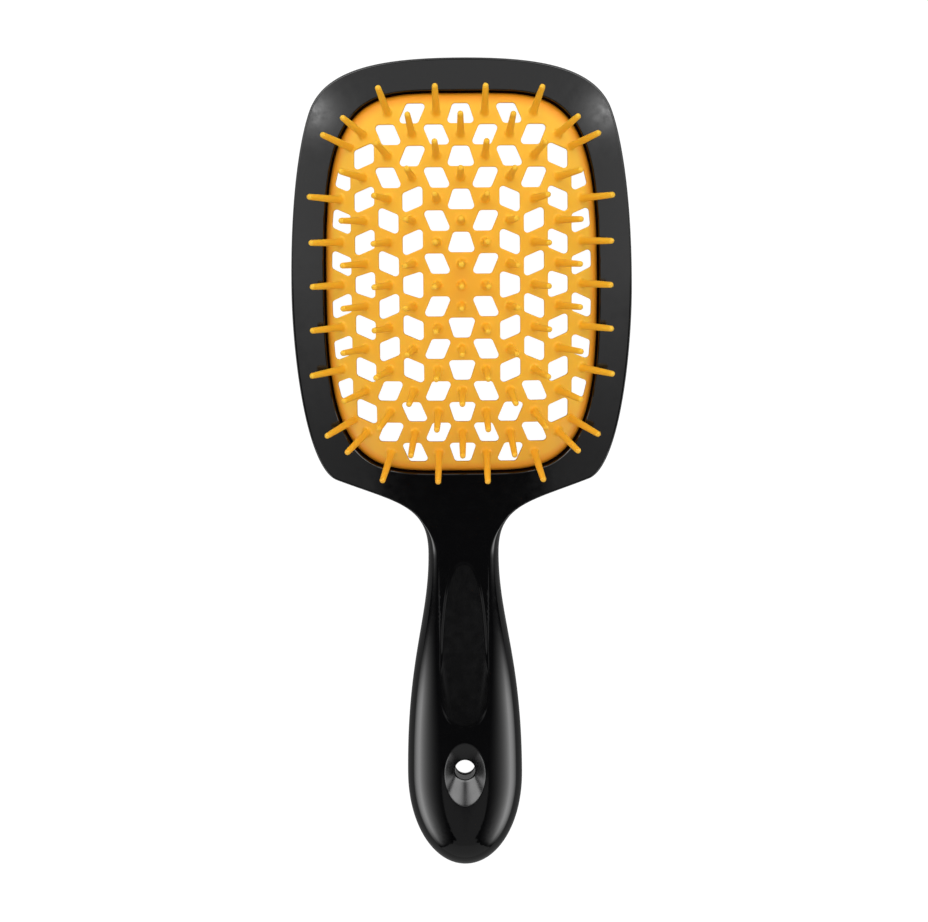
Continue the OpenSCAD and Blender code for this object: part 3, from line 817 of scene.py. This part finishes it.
# %% Floor
# The camera sees the sweep as white. Everything else sees a grey one, so the brush isn't lit from below. Under the hang
# hole, a patch is painted lighter and glows a little. This is painted light for the hole's wall to mirror.
floor_reach, floor_drop_mm, dark_paper, light_paper, hole_painted_light = 2.5, 0.05, 0.3, 0.95, 0.3
floor_mesh = bpy.data.meshes.new("sweep")
floor_mesh.from_pydata([(floor_reach * x, floor_reach * y, 0) for x, y in ((-1, -1), (1, -1), (1, 1), (-1, 1))], [],
                       [(0, 1, 2, 3)])
floor = bpy.data.objects.new("sweep", floor_mesh)
floor.location.z = -floor_drop_mm * MM
bpy.context.scene.collection.objects.link(floor)
paper, tree = start_material("Paper_sweep_white_matt")
camera_ray = add(tree, "ShaderNodeLightPath").outputs["Is Camera Ray"]
place = add(tree, "ShaderNodeTexCoord").outputs["Object"]
# Painted light: under the hang hole, the grey floor is made lighter and is partly mixed to glow, for reflections only.
to_hole = add(tree, "ShaderNodeVectorMath", place, (0, hang_y * MM, 0), operation="DISTANCE").outputs["Value"]
under_hole = add(tree, MATH, to_hole, 2 * bore_radius * MM, operation="LESS_THAN")
spot = add(tree, MATH, under_hole, hole_painted_light, operation="MULTIPLY")
plain = add(tree, MATH, camera_ray, spot, operation="MAXIMUM")
matt = add(tree, "ShaderNodeBsdfDiffuse", add(tree, RANGE, plain, 0.0, 1.0, dark_paper, light_paper))
white = add(tree, "ShaderNodeEmission", colour("#FFFFFF"), 1.12)
mixed = add(tree, "ShaderNodeMixShader", add(tree, RANGE, plain, 0.0, 1.0, 0.0, 0.9), matt, white)
add(tree, "ShaderNodeOutputMaterial", mixed)
floor_mesh.materials.append(paper)
print("sweep:", 2 * floor_reach, "m wide")

# %% World
# Plain surfaces get an even light from all round. Reflections see a dark room instead, a little lighter beyond the
# handle, with a bright spot at the top left and one at the top right.
room_light, corner_light, corner_way = 0.74, 5.6, Vector((0.62, 0.68, 0.38)).normalized()
world = bpy.data.worlds.new("studio")
bpy.context.scene.world = world
world.use_nodes = True
tree = world.node_tree
tree.nodes.clear()
rays = add(tree, "ShaderNodeLightPath")
direction = add(tree, "ShaderNodeTexCoord").outputs["Generated"]
x, y, z = add(tree, XYZ, direction).outputs
beyond_handle = add(tree, RANGE, y, -0.15, -0.8, 0.03, 0.35, **SOFT)
folded = add(tree, "ShaderNodeCombineXYZ", add(tree, MATH, x, operation="ABSOLUTE"), y, z)
facing = add(tree, "ShaderNodeVectorMath", folded, corner_way, operation="DOT_PRODUCT").outputs["Value"]
corners = add(tree, RANGE, facing, 0.7, 0.94, 0.0, corner_light, **SOFT)
reflected = add(tree, MATH, beyond_handle, corners, operation="ADD")
room = add(tree, RANGE, rays.outputs["Is Glossy Ray"], 0.0, 1.0, room_light, reflected)
level = add(tree, MATH, room, rays.outputs["Is Camera Ray"], operation="MAXIMUM")
add(tree, "ShaderNodeOutputWorld", add(tree, "ShaderNodeBackground", colour("#FFFFFF"), level))
print("world:", len(tree.nodes), "nodes")

# %% The even fill
# A large lamp evens out the light on the pad. It is left out of reflections. A level of 1 would make paper white.
fill_place, fill_target, fill_size, fill_level = Vector((0, 0.34, 0.46)), Vector((0, 0.06, 0)), (0.5, 0.3), 1.95
lamp = bpy.data.lights.new("even_fill", "AREA")
lamp.shape = "RECTANGLE"
lamp.size, lamp.size_y = fill_size
lamp.energy = fill_level * math.pi * fill_size[0] * fill_size[1]
fill = bpy.data.objects.new("even_fill", lamp)
fill.location = fill_place
fill.rotation_euler = (fill_target - fill_place).to_track_quat("-Z", "Y").to_euler()
fill.visible_camera = fill.visible_glossy = False
bpy.context.scene.collection.objects.link(fill)
print(f"even fill: {lamp.energy:.2f} W")


# %% A softbox that only reflections see
def softbox(name, corners, faces, paint):
    """A glowing cloth. Paint gives its brightness from a place's X, Y and Z in metres."""
    mesh = bpy.data.meshes.new(name)
    mesh.from_pydata(corners, [], faces)
    cloth = bpy.data.objects.new(name, mesh)
    bpy.context.scene.collection.objects.link(cloth)
    cloth.visible_camera = cloth.visible_diffuse = cloth.visible_shadow = False
    glow, tree = start_material("Softbox_cloth_" + name)
    place = add(tree, "ShaderNodeTexCoord").outputs["Object"]
    brightness = paint(tree, *add(tree, XYZ, place).outputs)
    add(tree, "ShaderNodeOutputMaterial", add(tree, "ShaderNodeEmission", colour("#FFFFFF"), brightness))
    mesh.materials.append(glow)
    print("softbox", name)


# %% The strips beside the handle
strip_x, strip_low, strip_high, strip_top = 0.22, -0.38, -0.02, 0.45
strip_fade, strip_foot, strip_most = 0.07, 17.5, 4.7


def strip_paint(tree, x, y, z):
    """Brightest a little over the floor, fading upwards and towards both ends."""
    fading = add(tree, MATH, add(tree, MATH, z, -1 / strip_fade, operation="MULTIPLY"), operation="EXPONENT")
    fading = add(tree, MATH, fading, strip_foot, operation="MULTIPLY")
    level = add(tree, MATH, fading, strip_most, operation="MINIMUM")
    for way, start, full in [(y, -0.38, -0.2), (y, -0.045, -0.1), (z, -0.03, 0.09)]:
        level = add(tree, MATH, level, add(tree, RANGE, way, start, full, **SOFT), operation="MULTIPLY")
    return level


strip_corners = [(strip_low, 0), (strip_high, 0), (strip_high, strip_top), (strip_low, strip_top)]
for name, side in [("strip_left", -1), ("strip_right", 1)]:
    softbox(name, [(side * strip_x, y, z) for y, z in strip_corners], [(0, 1, 2, 3)], strip_paint)

# %% The canopy and the glow beyond it
low_y, notch_y, notch_x, tab_x, high_y, half_x, canopy_z = -0.1, 0.03, 0.046, 0.13, 0.22, 0.6, 0.6
hot_x, hot_y, hot_reach, hot_level = 0.079, 0.123, 0.021, 9.0
glow_level, glow_half_x, glow_low_y, glow_high_y = 0.26, 0.4, -0.7, -0.23


def canopy_paint(tree, x, y, z):
    """Dimmer towards the handle and the middle, with a small hot spot over each top corner of the frame."""
    side = add(tree, MATH, x, operation="ABSOLUTE")
    level = add(tree, RANGE, y, -0.06, 0.04, 0.5, 1.05)
    level = add(tree, MATH, level, add(tree, RANGE, side, 0.06, 0.09, 0.8, 0.97), operation="MULTIPLY")
    wide = add(tree, RANGE, y, 0.0, notch_y, **SOFT)
    tab = add(tree, RANGE, side, 0.125, 0.085, **SOFT)
    level = add(tree, MATH, level, add(tree, MATH, wide, tab, operation="MAXIMUM"), operation="MULTIPLY")
    from_hot = add(tree, "ShaderNodeVectorMath", add(tree, "ShaderNodeCombineXYZ", side, y), (hot_x, hot_y, 0),
                   operation="DISTANCE").outputs["Value"]
    near = add(tree, RANGE, from_hot, 0.0, hot_reach, 1.0, 0.0)
    hot = add(tree, MATH, add(tree, MATH, near, 3.0, operation="POWER"), hot_level, operation="MULTIPLY")
    return add(tree, MATH, level, hot, operation="ADD")


def glow_paint(tree, x, y, z):
    return add(tree, RANGE, y, -0.235, -0.28, 0.0, glow_level, **SOFT)


half_canopy = [(tab_x, low_y), (notch_x, low_y), (notch_x, notch_y), (tab_x, notch_y), (half_x, notch_y),
               (half_x, high_y)]
softbox("canopy", [(side * x, y, canopy_z) for side in (-1, 1) for x, y in half_canopy],
        [(0, 3, 2, 1), (6, 7, 8, 9), (5, 11, 10, 9, 8, 2, 3, 4)], canopy_paint)
softbox("end_glow", [(side * glow_half_x, y, canopy_z) for side, y in
                     ((-1, glow_low_y), (1, glow_low_y), (1, glow_high_y), (-1, glow_high_y))],
        [(0, 3, 2, 1)], glow_paint)

# %% [markdown]
# ## Camera
# The photograph looks down at the head from half a metre, a little towards the handle, which is why the hang hole
# shows as a flat oval and the pins fan out. The camera stands at that place with that tilt.

# %% Camera
camera = bpy.data.objects.new("camera", bpy.data.cameras.new("camera"))
camera.data.sensor_width, camera.data.lens = 36, 78.8
tilt, roll = math.radians(-6.9), math.radians(-0.4)
camera.matrix_world = (Matrix.Translation((0.0003, 0.067, 0.54)) @ Matrix.Rotation(tilt, 4, "X")
                       @ Matrix.Rotation(roll, 4, "Z"))
bpy.context.scene.collection.objects.link(camera)
bpy.context.scene.camera = camera
bpy.context.scene.view_settings.view_transform = "Standard"
print("camera:", [round(v, 3) for v in camera.matrix_world.translation], "m, lens", camera.data.lens, "mm")
